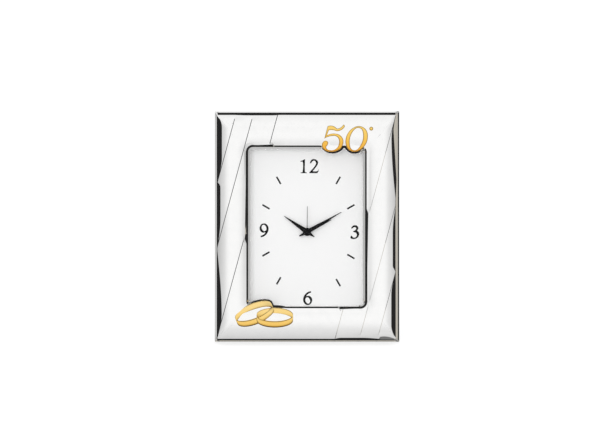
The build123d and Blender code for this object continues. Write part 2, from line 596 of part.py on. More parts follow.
intermediate_wheel = slab(gear(36, rotor_module, intermediate, ROTOR_ANGLE, tooth=False), 9.8, 10.4)
intermediate_wheel += slab(gear(8, seconds_module, intermediate, INTERMEDIATE_ANGLE + 180), 8.0, 9.2)
intermediate_wheel += rod(intermediate, PIVOT_RADIUS, plate_front + 0.1, pivot_tip)
rotor_pinion = slab(gear(6, rotor_module, rotor, ROTOR_ANGLE + 180), 9.6, 10.6)
rotor_pinion += rod(rotor, PIVOT_RADIUS, plate_front + 0.1, pivot_tip)
rotor_magnet = tube(rotor, PIVOT_RADIUS, 2.0, 6.0, 8.0)


def knob(place, radius, length):
    """Ribbed setting knob on an arbor behind the cover."""
    ribs = gear(16, radius / 9, place, 0)
    body = slab(ribs, COVER_BACK + 0.5, COVER_BACK + 0.5 + length)
    return body - rod(place, ARBOR_RADIUS, COVER_BACK, COVER_BACK + 4)


time_set_knob = knob(setting, 4.8, 5.5)
alarm_set_knob = knob(alarm, 4.2, 5.5)


# Hands, drawn at twelve and turned to the time

def hand(length, width, angle, front, hub_radius, bore, tail=HAND_TAIL):
    """Tapered hand with a pointed tail on a round hub."""
    half = width / 2
    blade = Polygon((-0.25, length), (-half, 1.5), (-0.8 * half, -0.2 * tail), (-0.3, -tail), (0.3, -tail),
                    (0.8 * half, -0.2 * tail), (half, 1.5), (0.25, length))
    outline = blade + Circle(hub_radius) - Circle(bore)
    return Rot(0, angle, 0) * slab(outline, front, front + HAND_SHEET)


alarm_hand = hand(*ALARM_HAND, -8.45, 4.0, 3.0)
hour_hand = hand(*HOUR_HAND, -9.9, 4.4, 2.2)
minute_hand = hand(*MINUTE_HAND, -11.3, 3.6, 1.4)
second_hand = hand(*SECOND_HAND, -12.65, 2.0, seconds_radius, tail=1.5)
second_hand += rod(origin, 2.0, -13.0, -12.7) + tube(origin, seconds_radius, 2.0, -12.7, -12.65)

# All pieces by name, the movement's set down to the hub, then the whole clock leant back on the table
frame_pieces = {
    "silver_face": silver_face,
    "frame_core": frame_core,
    **ornaments,
    "glass_pane": glass_pane,
    "dial_spacer": dial_spacer,
    "dial_card": dial_card,
    "dial_board": dial_board,
    "bush_nut": bush_nut,
    "back_panel": back_panel,
    "clip_screws": Compound(children=clip_screws),
    "hinge_leaf_fixed": hinge_leaf_fixed,
    "hinge_pin": hinge_pin,
    "hinge_rivets": Compound(children=hinge_rivets),
    "hinge_leaf_moving": hinge_leaf_moving,
    "strut": strut,
    "strut_rivets": Compound(children=strut_rivets),
}
frame_pieces.update({name: turn_clip(pivot) for name, pivot in zip(clip_names, CLIP_PIVOTS)})
movement_pieces = {
    "movement_case": movement_case,
    "movement_cover": movement_cover,
    "train_plate": train_plate,
    "battery": battery,
    "battery_contact_plus": battery_contact(1),
    "battery_contact_minus": battery_contact(-1),
    "circuit_board": circuit_board,
    "control_chip": control_chip,
    "quartz_crystal": quartz_crystal,
    "buzzer_disc": buzzer_disc,
    "stator": stator,
    "coil_bobbin": coil_bobbin,
    "coil_winding": coil_winding,
    "alarm_spring": alarm_spring,
    "alarm_switch": alarm_switch,
    "alarm_wheel": alarm_wheel,
    "alarm_pinion": alarm_pinion,
    "alarm_set_knob": alarm_set_knob,
    "hour_wheel": hour_wheel,
    "cannon_pinion": cannon_pinion,
    "setting_wheel": setting_wheel,
    "time_set_knob": time_set_knob,
    "centre_wheel": centre_wheel,
    "third_wheel": third_wheel,
    "seconds_wheel": seconds_wheel,
    "intermediate_wheel": intermediate_wheel,
    "rotor_pinion": rotor_pinion,
    "rotor_magnet": rotor_magnet,
    "alarm_hand": alarm_hand,
    "hour_hand": hour_hand,
    "minute_hand": minute_hand,
    "second_hand": second_hand,
}
to_hub = Pos(0, 0, HUB_Z)
leant = Rot(-LEAN, 0, 0)
pieces = {name: leant * piece for name, piece in frame_pieces.items()}
pieces.update({name: leant * to_hub * piece for name, piece in movement_pieces.items()})

boxes = [piece.bounding_box() for piece in pieces.values()]
middle_y = (min(box.min.Y for box in boxes) + max(box.max.Y for box in boxes)) / 2
table_z = -FRAME_HEIGHT / 2 * cos(radians(LEAN))
on_table = Pos(0, -middle_y, -table_z)
print("set back", -middle_y, "set up", -table_z)

os.makedirs("parts", exist_ok=True)
for name, piece in pieces.items():
    export_step(on_table * piece, f"parts/{name}.step")
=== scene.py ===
"""Looks of the photo frame clock: polished silver face with folded bands, gilt ornaments, printed dial.

Shapes are drawn in millimetres on the upright face, x to the right, z up and height measured forward from
the back of the frame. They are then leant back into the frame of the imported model.
"""

import json
import math

import bmesh
import bpy
from mathutils import Matrix, Vector


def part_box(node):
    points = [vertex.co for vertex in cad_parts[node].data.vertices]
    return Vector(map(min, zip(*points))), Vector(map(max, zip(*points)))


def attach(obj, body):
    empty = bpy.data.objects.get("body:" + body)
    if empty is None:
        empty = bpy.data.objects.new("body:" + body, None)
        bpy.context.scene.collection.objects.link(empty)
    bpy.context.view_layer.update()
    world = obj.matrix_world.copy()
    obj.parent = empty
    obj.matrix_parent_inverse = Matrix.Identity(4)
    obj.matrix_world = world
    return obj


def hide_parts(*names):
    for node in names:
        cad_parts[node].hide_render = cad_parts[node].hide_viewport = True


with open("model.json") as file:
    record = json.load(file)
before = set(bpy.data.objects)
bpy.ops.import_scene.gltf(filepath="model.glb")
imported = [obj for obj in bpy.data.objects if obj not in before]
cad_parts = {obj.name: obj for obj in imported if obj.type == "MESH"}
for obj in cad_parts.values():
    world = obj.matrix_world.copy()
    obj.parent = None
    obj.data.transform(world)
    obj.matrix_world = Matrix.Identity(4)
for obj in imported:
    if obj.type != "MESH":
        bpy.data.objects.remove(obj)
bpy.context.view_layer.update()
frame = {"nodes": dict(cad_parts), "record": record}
scene = bpy.context.scene

# Place of the face, from the glass pane, whose middle lies this far before the back of the frame
MILLIMETRE = 0.001
LEAN = math.radians(12.0)
GLASS_MIDDLE = 15.0
pane_low, pane_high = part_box("glass_pane")
FACE = (Matrix.Translation((pane_low + pane_high) / 2) @ Matrix.Rotation(-LEAN, 4, "X")
        @ Matrix.Scale(MILLIMETRE, 4) @ Matrix.Translation((0, GLASS_MIDDLE, 0)))
FACE_NORMAL = Vector((0, -math.cos(LEAN), math.sin(LEAN)))

# Face: its half size and its opening, inset on the left, top, right and bottom
HALF_WIDTH, HALF_HEIGHT = 100.0, 125.0
LIP_INSETS = (36.25, 39.05, 37.3, 38.4)
LIP_RADIUS = 5.0
# Points along each side and round a corner, and the length in which the sides run into each other
SIDE_SAMPLES = (110, 220, 110, 220)
CORNER_SAMPLES = 14
CORNER_BLEND = 4.0

# Rim: an outer and an inner strip, width and slope in degrees on each side
OUTER_STRIP = ((0.4, 48), (1.4, 8), (1.65, 49), (1.3, 30))
INNER_STRIP = ((1.7, 17), (1.65, 45), (2.65, 36), (1.3, 46))
RIM_FRONT = 8.8
RIM_RADIUS, FLANK_RADIUS = 0.9, 1.2
# Rounding of the rim's outer edge and of the crease between its strips
EDGE_WIDTH, EDGE_FALL, EDGE_RISE = 0.12, 0.3, 0.02
CREASE = 0.06

# Hollows of the flank: both ends, depth, share of the length in which each end runs out, and slope
SIDE_HOLLOWS = ((48.5, 122.0, 5.2, 0.36, 0.2, 1.2), (-24.5, 48.5, 3.6, 0.45, 0.08, 1.2),
                (-122.0, -24.5, 5.0, 0.29, 0.75, 1.2))
TOP_HOLLOWS = ((-78.0, -30.0, 0.45, 0.4, 0.15, 1.2),)
BOTTOM_HOLLOWS = ((-78.0, -30.0, 1.1, 0.4, 0.15, 1.2), (-95.0, -72.0, 2.6, 0.5, 0.5, 0.65))
HOLLOWS = (SIDE_HOLLOWS, TOP_HOLLOWS, SIDE_HOLLOWS, BOTTOM_HOLLOWS)
# Foot of the right flank, from its top down: below zero it moves outward, above zero it carries a ledge
RIGHT_FOOT = ((-122.0, 0.0), (-105.0, 2.3), (-51.0, -1.1), (-24.5, 0.0),
              (48.5, 0.0), (60.0, -0.25), (122.0, -0.25))
SHOULDER_INSETS = (2.7, 4.4, 3.8, 3.5)
LEAST_FLANK, LEAST_LEDGE = 0.35, 0.05
FLANK_SLOPE = 1.2

# Crown: its edge and top, how far in it rises at the sides and at the ends, and its fall to the lip
SHOULDER = 19.8
CROWN = 23.5
CROWN_REACH = (16.0, 20.0)
CROWN_CORNER = 3.0
CROWN_STATIONS, CROWN_CROWDING = 18, 1.3
INNER_REACH, INNER_CURVE = 12.0, 2.2
INNER_SHOULDER = 22.2

# Lip: its slope and its width on each side
LIP_SLOPE = math.tan(math.radians(41))
LIP_WIDTHS = (1.95, 1.65, 1.75, 1.75)
# Past the first fold the lip gains width, and loses a part of the gain again over a reach
LIP_FOLDS, LIP_CHANGE = (58.6, 57.4), 1.6
LIP_GAINS, LIP_LOSS, LIP_LOSS_REACH = (1.75, 1.15, 1.75, 1.15), 0.6, 17.7
LOBE_LIP = 1.5

# Flange between the lip and the glass: its width on each side and at a lobe
FLANGES, LOBE_FLANGE = (2.3, 2.3, 2.3, 0.8), 0.5
# Way round the flange's edge and back: share of its width, offset outward, height
FLANGE_STATIONS = ((0.0, -0.05, 17.4), (1.0, 0.0, 16.4), (1.0, -0.1, 16.15),
                   (1.0, 0.1, 16.05), (0.0, 2.5, 16.05))
# Inside of the sheet, from the opening out to the wall: inset, height
INSIDE_STATIONS = ((20.0, 16.2), (8.0, 6.0), (1.2, 4.0), (1.0, 0.0))
INSIDE_RADIUS = 1.0

# Folds: lines x = slope * z - offset on the left and x = slope * z + offset on the right
FOLD_SLOPE = 0.272
FOLD_OFFSETS = ((64.7, 91.2, 110.0), (63.2, 89.4, 109.0))
FOLD_STEPS = (0.66, 0.3)
FOLD_RAMPS = (0.7, 0.46)
FOLD_RISE, FOLD_RUNOUT = 18.0, 40.0
# Distances from the top or bottom, the lip and the back between which a fold grows to its full step
FOLD_END = (2.5, 6.0)
FOLD_START = (2.5, 4.5)
FOLD_FRONT = (17.5, 19.0)
FOLD_SNAP = 1e-5

# Gilt numerals: their shift on the face, from their solids to where the photograph has them
NUMERAL_SHIFT = Vector((-0.45, -0.75))

# Lobes of the sheet under the numerals: x, z, half width, half height, turn
NUMERAL_LOBES = ((27.6, 90.9, 13.8, 12.0, 0.0), (53.5, 94.9, 13.7, 16.8, -28.5),
                 (58.0, 90.0, 10.3, 7.7, 0.0))
LOBE_BLEND = 1.6
LOBE_SMOOTHING = 3

# Rings: x, z, half width, half height, turn, and how far the lobe of each stands out past it
RINGS = {"ring_left": (-57.0, -94.1, 21.8, 8.3, 22.0), "ring_right": (-34.9, -98.3, 20.3, 7.5, 0.0)}
RING_MARGINS = (1.2, 2.2)
RING_BAND = 7.0

# Dial print: its middle and the oval on which the numerals and dashes stand
PRINT_PLACE = (1.43, -4.95)
PRINT_OVAL = (49.6, 71.4)
PRINT_FRONT, PRINT_DEPTH = 7.04, 0.04
PRINT_SPREAD = 0.2
NUMERAL_HEIGHT = 14.7
DASH_SIZE = (9.0, 1.8)
# Dashes beside twelve and six spread, those beside three and nine gather, the lower ones sink to the right
DASH_SPREAD, DASH_GATHER, DASH_TILT = 1.2, 0.7, 0.03


# Materials

NOISE_LOW, NOISE_HIGH = 0.3, 0.7
BUMP_DEPTH = 0.0002
# Stops of the gilt's painted shade from foot to top, and the share of noise grain multiplied over it
GILT_SHADE_STOPS, GILT_GRAIN = (0.0, 0.55, 1.0), 0.2
WOOD_GRAIN = 0.45
GLASS_IOR, GLASS_SHEEN = 1.45, 0.05


def new_material(name):
    """Empty material with its nodes, links and shader."""
    material = bpy.data.materials.new(name)
    material.use_nodes = True
    nodes = material.node_tree.nodes
    return material, nodes, material.node_tree.links, nodes["Principled BSDF"]


def add_node(nodes, kind, **values):
    """New node with the given inputs; a name with a leading capital is an input, others are settings."""
    node = nodes.new(kind)
    for name, value in values.items():
        if name[0].isupper():
            node.inputs[name.replace("_", " ")].default_value = value
        else:
            setattr(node, name, value)
    return node


def ramp_node(nodes, stops):
    """Colour ramp through (position, colour) stops."""
    ramp = nodes.new("ShaderNodeValToRGB")
    elements = ramp.color_ramp.elements
    for element, (position, colour) in zip(elements, stops):
        element.position, element.color = position, (*colour, 1)
    for position, colour in stops[2:]:
        elements.new(position).color = (*colour, 1)
    return ramp


def mix_node(nodes, blend, factor=0.5):
    """Colour mix."""
    mix = nodes.new("ShaderNodeMix")
    mix.data_type = "RGBA"
    mix.blend_type = blend
    colour_input(mix, "Factor").default_value = factor
    return mix


def colour_input(mix, name):
    """Input of a colour mix; the node keeps inputs of the same name for other kinds of value."""
    kind = "VALUE" if name == "Factor" else "RGBA"
    return next(socket for socket in mix.inputs if socket.name == name and socket.type == kind)


def colour_output(mix):
    return next(socket for socket in mix.outputs if socket.type == "RGBA")


def surface(name, dark, light, metallic=0.0, roughness=(0.3, 0.45), grain=250.0, stretch=(1, 1, 1),
            bump=0.0, coat=0.0, specular=0.5):
    """Finish whose colour, roughness and relief follow one noise, stretched where it is brushed."""
    material, nodes, links, shader = new_material(name)
    place = nodes.new("ShaderNodeTexCoord")
    mapping = add_node(nodes, "ShaderNodeMapping", Scale=stretch)
    noise = add_node(nodes, "ShaderNodeTexNoise", Scale=grain, Detail=6.0, Roughness=0.6)
    tone = ramp_node(nodes, ((NOISE_LOW, dark), (NOISE_HIGH, light)))
    gloss = add_node(nodes, "ShaderNodeMapRange", From_Min=NOISE_LOW, From_Max=NOISE_HIGH,
                     To_Min=roughness[0], To_Max=roughness[1])
    links.new(place.outputs["Object"], mapping.inputs["Vector"])
    links.new(mapping.outputs["Vector"], noise.inputs["Vector"])
    links.new(noise.outputs["Fac"], tone.inputs["Fac"])
    links.new(noise.outputs["Fac"], gloss.inputs["Value"])
    links.new(tone.outputs["Color"], shader.inputs["Base Color"])
    links.new(gloss.outputs["Result"], shader.inputs["Roughness"])
    shader.inputs["Metallic"].default_value = metallic
    shader.inputs["Coat Weight"].default_value = coat
    shader.inputs["Specular IOR Level"].default_value = specular
    if bump:
        relief = add_node(nodes, "ShaderNodeBump", Strength=bump, Distance=BUMP_DEPTH)
        links.new(noise.outputs["Fac"], relief.inputs["Height"])
        links.new(relief.outputs["Normal"], shader.inputs["Normal"])
    return material


def gilding_with_painted_shade(name, node, tones):
    """Gold whose tone turns from the foot of the ornament to its top, a painted shade: darker orange at the
    foot, paler yellow at the top.
    """
    low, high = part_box(node)
    material = surface(name, (0.9, 0.5, 0.08), (0.95, 0.55, 0.1), metallic=1.0, roughness=(0.12, 0.2),
                       grain=500)
    nodes, links = material.node_tree.nodes, material.node_tree.links
    place = nodes["Texture Coordinate"]
    split = nodes.new("ShaderNodeSeparateXYZ")
    height = add_node(nodes, "ShaderNodeMapRange", From_Min=low.z, From_Max=high.z)
    tone = ramp_node(nodes, list(zip(GILT_SHADE_STOPS, tones)))
    mix = mix_node(nodes, "MULTIPLY", GILT_GRAIN)
    links.new(place.outputs["Object"], split.inputs["Vector"])
    links.new(split.outputs["Z"], height.inputs["Value"])
    links.new(height.outputs["Result"], tone.inputs["Fac"])
    links.new(tone.outputs["Color"], colour_input(mix, "A"))
    links.new(nodes["Color Ramp"].outputs["Color"], colour_input(mix, "B"))
    links.new(colour_output(mix), nodes["Principled BSDF"].inputs["Base Color"])
    return material


def wood(name, dark, light, roughness):
    """Stained wood with grain along the height of the clock."""
    material = surface(name, dark, light, roughness=roughness, grain=60, stretch=(9, 3, 0.5), bump=0.25,
                       coat=0.2)
    nodes, links = material.node_tree.nodes, material.node_tree.links
    rings = add_node(nodes, "ShaderNodeTexWave", Scale=22.0, Distortion=7.0, Detail=3.0, Detail_Scale=1.6)
    mix = mix_node(nodes, "MULTIPLY", WOOD_GRAIN)
    links.new(nodes["Mapping"].outputs["Vector"], rings.inputs["Vector"])
    links.new(nodes["Color Ramp"].outputs["Color"], colour_input(mix, "A"))
    links.new(rings.outputs["Color"], colour_input(mix, "B"))
    links.new(colour_output(mix), nodes["Principled BSDF"].inputs["Base Color"])
    return material


def glazing(name):
    """Clear pane that lets light rays through, so that the dial behind it is lit."""
    material = surface(name, (0.97, 0.985, 0.98), (1, 1, 1), roughness=(0.0, 0.012), grain=40)
    nodes, links = material.node_tree.nodes, material.node_tree.links
    shader = nodes["Principled BSDF"]
    shader.inputs["Transmission Weight"].default_value = 1.0
    shader.inputs["IOR"].default_value = GLASS_IOR
    rays = nodes.new("ShaderNodeLightPath")
    lit = add_node(nodes, "ShaderNodeMath", operation="MAXIMUM")
    clearness = add_node(nodes, "ShaderNodeMapRange", To_Min=1 - GLASS_SHEEN, To_Max=1.0)
    clear = nodes.new("ShaderNodeBsdfTransparent")
    mix = nodes.new("ShaderNodeMixShader")
    links.new(rays.outputs["Is Shadow Ray"], lit.inputs[0])
    links.new(rays.outputs["Is Diffuse Ray"], lit.inputs[1])
    links.new(lit.outputs["Value"], clearness.inputs["Value"])
    links.new(clearness.outputs["Result"], mix.inputs["Fac"])
    links.new(shader.outputs["BSDF"], mix.inputs[1])
    links.new(clear.outputs["BSDF"], mix.inputs[2])
    links.new(mix.outputs["Shader"], nodes["Material Output"].inputs["Surface"])
    return material


materials = {
    "silver": surface("polished_silver", (0.93, 0.93, 0.925), (0.965, 0.962, 0.955), metallic=1.0,
                      roughness=(0.05, 0.09), grain=120),
    "core": surface("resin_core", (0.035, 0.034, 0.033), (0.06, 0.058, 0.055), roughness=(0.45, 0.65),
                    bump=0.3),
    # Numerals' gilt tones from foot to top: painted shade, orange below turning to pale yellow above
    "gilt": gilding_with_painted_shade("gilding_numerals", "numeral_five",
                    ((0.9, 0.45, 0.045), (0.98, 0.68, 0.16), (1.0, 0.76, 0.25))),
    "glass": glazing("clear_glass"),
    "white_spacer": surface("white_spacer", (0.86, 0.86, 0.85), (0.92, 0.92, 0.91), roughness=(0.5, 0.6)),
    "dial_white": surface("dial_card", (0.91, 0.91, 0.91), (0.93, 0.93, 0.93), roughness=(0.55, 0.7),
                          grain=900, bump=0.05),
    "board": surface("grey_board", (0.32, 0.29, 0.25), (0.45, 0.42, 0.37), roughness=(0.7, 0.9), bump=0.4),
    "back_wood": wood("stained_wood", (0.075, 0.027, 0.012), (0.19, 0.075, 0.03), (0.32, 0.5)),
    "steel": surface("brushed_steel", (0.5, 0.5, 0.49), (0.68, 0.68, 0.66), metallic=1.0,
                     roughness=(0.2, 0.38), grain=160, stretch=(1, 8, 30), bump=0.08),
    "brass": surface("brass", (0.62, 0.42, 0.14), (0.78, 0.56, 0.22), metallic=1.0, roughness=(0.18, 0.32)),
    "hand_black": surface("black_enamel", (0.006, 0.006, 0.007), (0.012, 0.012, 0.012),
                          roughness=(0.3, 0.45), grain=600, specular=0.04),
    "case_black": surface("case_plastic", (0.012, 0.012, 0.013), (0.028, 0.028, 0.029),
                          roughness=(0.4, 0.6), grain=1400, bump=0.5),
    "knob_black": surface("knob_plastic", (0.018, 0.018, 0.019), (0.035, 0.035, 0.036),
                          roughness=(0.28, 0.42), grain=900, bump=0.2),
    "switch_grey": surface("switch_plastic", (0.3, 0.3, 0.31), (0.4, 0.4, 0.41), roughness=(0.35, 0.5)),
    "wheel_white": surface("wheel_plastic", (0.72, 0.71, 0.67), (0.82, 0.81, 0.77), roughness=(0.3, 0.45)),
    "plate_white": surface("plate_plastic", (0.6, 0.6, 0.58), (0.7, 0.7, 0.68), roughness=(0.4, 0.55)),
    "circuit_green": surface("circuit_board", (0.02, 0.1, 0.04), (0.035, 0.16, 0.06),
                             roughness=(0.35, 0.5)),
    "chip_black": surface("chip_resin", (0.01, 0.01, 0.01), (0.03, 0.03, 0.03), roughness=(0.25, 0.4)),
    "copper": surface("copper_wire", (0.55, 0.2, 0.08), (0.75, 0.32, 0.14), metallic=1.0,
                      roughness=(0.2, 0.4), grain=200, stretch=(40, 1, 1), bump=0.5),
    "magnet": surface("magnet", (0.08, 0.08, 0.085), (0.13, 0.13, 0.135), metallic=0.6,
                      roughness=(0.35, 0.5)),
    "cell_sleeve": surface("cell_sleeve", (0.02, 0.05, 0.16), (0.03, 0.07, 0.22), roughness=(0.2, 0.35),
                           coat=0.4),
}
# Rings' gilt tones from foot to top: painted shade, deeper gold below turning to paler gold above
gilt_rings = gilding_with_painted_shade("gilding_rings", "ring_right",
                     ((0.95, 0.6, 0.12), (1.0, 0.76, 0.28), (1.0, 0.8, 0.36)))
for subpart in frame["record"]["subparts"]:
    mesh = frame["nodes"][subpart["node"]].data
    mesh.materials.clear()
    mesh.materials.append(materials[subpart["material_slot"]])


# Mesh helpers

WELD = 0.002
FLAT = 0.02
PLACE_DIGITS = 4


def add_piece(name, mesh, material, replaced=(), body="frame", sharp=30):
    """Piece from a mesh that is already in place, riding on its body."""
    mesh.materials.clear()
    mesh.materials.append(material)
    mesh.shade_smooth()
    mesh.set_sharp_from_angle(angle=math.radians(sharp))
    piece = bpy.data.objects.new(name, mesh)
    scene.collection.objects.link(piece)
    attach(piece, body)
    if replaced:
        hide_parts(*replaced)


def mesh_from(name, build):
    """Mesh of a bmesh with outward normals, from face millimetres to its place."""
    bmesh.ops.recalc_face_normals(build, faces=build.faces)
    mesh = bpy.data.meshes.new(name)
    build.to_mesh(mesh)
    build.free()
    mesh.transform(FACE)
    return mesh


def loft(loops):
    """Closed band through closed loops of points, joined round and back to the first loop."""
    build = bmesh.new()
    rings = [[build.verts.new(point) for point in loop] for loop in loops]
    count = len(loops[0])
    for first, second in zip(rings, rings[1:] + rings[:1]):
        for here in range(count):
            there = (here + 1) % count
            build.faces.new((first[here], first[there], second[there], second[here]))
    return build


def filled(name, splines, front, depth, bevel, spread=0.0):
    """Flat solid with rounded edges, at a height on the face, spread past its outlines."""
    curve = bpy.data.curves.new(name, "CURVE")
    curve.dimensions = "2D"
    curve.fill_mode = "BOTH"
    curve.extrude = depth / 2 - bevel
    curve.bevel_depth = bevel
    curve.bevel_resolution = 3
    curve.offset = spread - bevel
    curve.resolution_u = 8
    for draw in splines:
        draw(curve)
    drawn = bpy.data.objects.new(name, curve)
    scene.collection.objects.link(drawn)
    evaluated = drawn.evaluated_get(bpy.context.evaluated_depsgraph_get())
    solid = bpy.data.meshes.new_from_object(evaluated)
    bpy.data.objects.remove(drawn)
    build = bmesh.new()
    build.from_mesh(solid)
    bmesh.ops.remove_doubles(build, verts=build.verts, dist=WELD)
    upright = Matrix.Translation((0, depth / 2 - front, 0)) @ Matrix.Rotation(math.pi / 2, 4, "X")
    bmesh.ops.transform(build, matrix=upright, verts=build.verts)
    return mesh_from(name, build)


def polyline(points):
    """Draws a closed outline of straight runs into a curve."""
    def draw(curve):
        spline = curve.splines.new("POLY")
        spline.points.add(len(points) - 1)
        for place, (x, z) in zip(spline.points, points):
            place.co = (x, z, 0, 1)
        spline.use_cyclic_u = True
    return draw


def smooth_line(points):
    """Draws a closed outline through (x, z) points; a third value marks a corner."""
    def draw(curve):
        spline = curve.splines.new("BEZIER")
        spline.bezier_points.add(len(points) - 1)
        for place, (x, z, *corner) in zip(spline.bezier_points, points):
            place.co = (x, z, 0)
            handle = "VECTOR" if corner else "AUTO"
            place.handle_left_type, place.handle_right_type = handle, handle
        spline.use_cyclic_u = True
    return draw


def front_loops(node):
    """Outlines of the flat front of a CAD node, as closed lists of (x, z) on the face."""
    mesh = frame["nodes"][node].data
    to_face = FACE.inverted()
    places = [to_face @ vertex.co for vertex in mesh.vertices]
    front = min(place.y for place in places)
    edges = {}
    for polygon in mesh.polygons:
        if all(places[index].y < front + FLAT for index in polygon.vertices):
            for first, second in polygon.edge_keys:
                corners = (places[index] for index in (first, second))
                ends = frozenset((round(corner.x, PLACE_DIGITS), round(corner.z, PLACE_DIGITS))
                                 for corner in corners)
                edges[ends] = edges.get(ends, 0) + 1
    nexts = {}
    for first, second in (tuple(ends) for ends, count in edges.items() if count == 1 and len(ends) == 2):
        nexts.setdefault(first, []).append(second)
        nexts.setdefault(second, []).append(first)
    loops = []
    while nexts:
        loop = [next(iter(nexts))]
        ahead = nexts.pop(loop[0])[0]
        while ahead in nexts:
            loop.append(ahead)
            options = nexts.pop(ahead)
            ahead = options[0] if options[0] != loop[-2] else options[1]
        loops.append(loop)
    return loops


# Silver face

# Way round the frame and way inward on the left, top, right and bottom
DIRECTIONS = ((0, 1), (1, 0), (0, -1), (-1, 0))
INWARD = ((1, 0), (0, -1), (-1, 0), (0, 1))


def samples():
    """Places round the frame, clockwise from the lower left: side, share of it, share of its corner."""
    for side, count in enumerate(SIDE_SAMPLES):
        for step in range(count + 1):
            yield side, step / count, 0.0
        for step in range(1, CORNER_SAMPLES):
            yield side, 1.0, step / CORNER_SAMPLES


SAMPLES = list(samples())


def round_point(sample, insets, radius):
    """Point on a rectangle with rounded corners, inset from the face's outline by an amount per side."""
    side, along, turn = sample
    left, top, right, bottom = insets
    x0, x1 = left - HALF_WIDTH, HALF_WIDTH - right
    z0, z1 = bottom - HALF_HEIGHT, HALF_HEIGHT - top
    corners = [Vector(corner) for corner in ((x0, z0), (x0, z1), (x1, z1), (x1, z0))]
    run = Vector(DIRECTIONS[side])
    start, end = corners[side] + radius * run, corners[(side + 1) % 4] - radius * run
    if not turn:
        return start.lerp(end, along)
    inward, inward_next = Vector(INWARD[side]), Vector(INWARD[(side + 1) % 4])
    angle = turn * math.pi / 2
    middle = end + radius * inward
    return middle - radius * (math.cos(angle) * inward + math.sin(angle) * inward_next)


def eased(share):
    """Share from none to all with a soft start and end."""
    share = min(max(share, 0.0), 1.0)
    return share * share * (3 - 2 * share)


def grown(distance, ends):
    """Share that grows from none to all between two distances."""
    return eased((distance - ends[0]) / (ends[1] - ends[0]))


def between(value, knots):
    """Straight-line interpolation through (place, value) knots."""
    for (place, here), (place_next, there) in zip(knots, knots[1:]):
        if value <= place_next:
            return here + (there - here) * max(value - place, 0) / (place_next - place)
    return knots[-1][1]


def blended(values, sample):
    """Value of a sample's side, run into those of its neighbours near the corners."""
    side, along, _ = sample
    length = 2 * (HALF_HEIGHT if side % 2 == 0 else HALF_WIDTH)
    before = 0.5 * eased(1 - along * length / CORNER_BLEND)
    after = 0.5 * eased(1 - (1 - along) * length / CORNER_BLEND)
    own = 1 - before - after
    return values[side] * own + values[side - 1] * before + values[(side + 1) % 4] * after


def hollow(sample, place):
    """Shift of the flank's foot and shoulder and its slope; left and right match when turned half round."""
    side, _, turn = sample
    if turn:
        return 0.0, 0.0, FLANK_SLOPE
    distance = (1 if side < 2 else -1) * (place[1] if side % 2 == 0 else place[0])
    foot = between(distance, RIGHT_FOOT) if side == 2 else 0.0
    for low, high, depth, run_low, run_high, slope in HOLLOWS[side]:
        share = (distance - low) / (high - low)
        if 0 < share < 1:
            low_end = math.sin(math.pi / 2 * min(share / run_low, 1))
            high_end = math.sin(math.pi / 2 * min((1 - share) / run_high, 1))
            return foot, depth * low_end * high_end, slope
    return foot, 0.0, FLANK_SLOPE


def oval_edge(lobe, x, lower):
    """Height at which an oval lobe's edge crosses x, on its lower or upper side, or None beside it."""
    middle_x, middle_z, half_width, half_height, turn = lobe
    cosine, sine = math.cos(math.radians(turn)), math.sin(math.radians(turn))
    reach = (half_width * cosine) ** 2 + (half_height * sine) ** 2
    across = x - middle_x
    if across * across >= reach:
        return None
    swing = half_height * half_width * math.sqrt(reach - across * across) / reach
    lean = (half_width * half_width - half_height * half_height) * sine * cosine * across / reach
    return middle_z + lean + (-swing if lower else swing)


def ring_lobes():
    """The upper rim of each ring, which the sheet follows where it stands over the opening."""
    lobes = []
    shift = RING_BAND / 2
    for (x, z, half_width, half_height, turn), margin in zip(RINGS.values(), RING_MARGINS):
        lobes.append((x - shift * math.sin(math.radians(turn)), z + shift * math.cos(math.radians(turn)),
                      half_width + margin, half_height + margin, turn))
    return lobes


def lip_line():
    """Edge of the opening with the ornaments' lobes, normals into the frame, and share of a lobe there."""
    points = [round_point(sample, LIP_INSETS, LIP_RADIUS) for sample in SAMPLES]
    plain = [point.copy() for point in points]
    lobes_below = ring_lobes()
    for point in points:
        lower = point.y > 0
        for lobe in (NUMERAL_LOBES if lower else lobes_below):
            edge = oval_edge(lobe, point.x, lower)
            if edge is not None:
                point.y = min(point.y, edge) if lower else max(point.y, edge)
    count = len(points)
    for _ in range(LOBE_SMOOTHING):
        points = [(points[i - 1] + 2 * points[i] + points[(i + 1) % count]) / 4 for i in range(count)]
    normals = []
    for i in range(count):
        run = (points[(i + 2) % count] - points[i - 2]).normalized()
        normals.append(Vector((-run.y, run.x)))
    lobes = [eased((point - start).length / LOBE_BLEND) for point, start in zip(points, plain)]
    return points, normals, lobes


def lip_distance(x, z):
    """Distance from the rounded edge of the opening, outward."""
    across = max(abs(x) - HALF_WIDTH + LIP_INSETS[0] + LIP_RADIUS, 0)
    up = max(abs(z) - HALF_HEIGHT + LIP_INSETS[1] + LIP_RADIUS, 0)
    return math.hypot(across, up) - LIP_RADIUS


def fold_place(x, z):
    """Distance across the folds from the line through the middle of the face, to the right."""
    return x - FOLD_SLOPE * z


def fold_lift(x, z):
    """Lift of the folded bands: each rises outward and ends in a step down to the next one."""
    place = fold_place(x, z)
    turned = 0 if place < 0 else 1
    half, ramp, offsets = FOLD_STEPS[turned] / 2, FOLD_RAMPS[turned], FOLD_OFFSETS[turned]
    knots = [(0.0, 0.0), (offsets[0] - FOLD_RISE, 0.0)]
    for offset in offsets:
        knots += [(offset - ramp / 2, half), (offset + ramp / 2, -half)]
    knots.append((offsets[-1] + FOLD_RUNOUT, half))
    lift = between(abs(place), knots)
    if abs(place) > (offsets[0] + offsets[1]) / 2:
        lift *= grown(HALF_HEIGHT - SHOULDER_INSETS[1] - abs(z), FOLD_END)
    return lift * grown(lip_distance(x, z), FOLD_START)


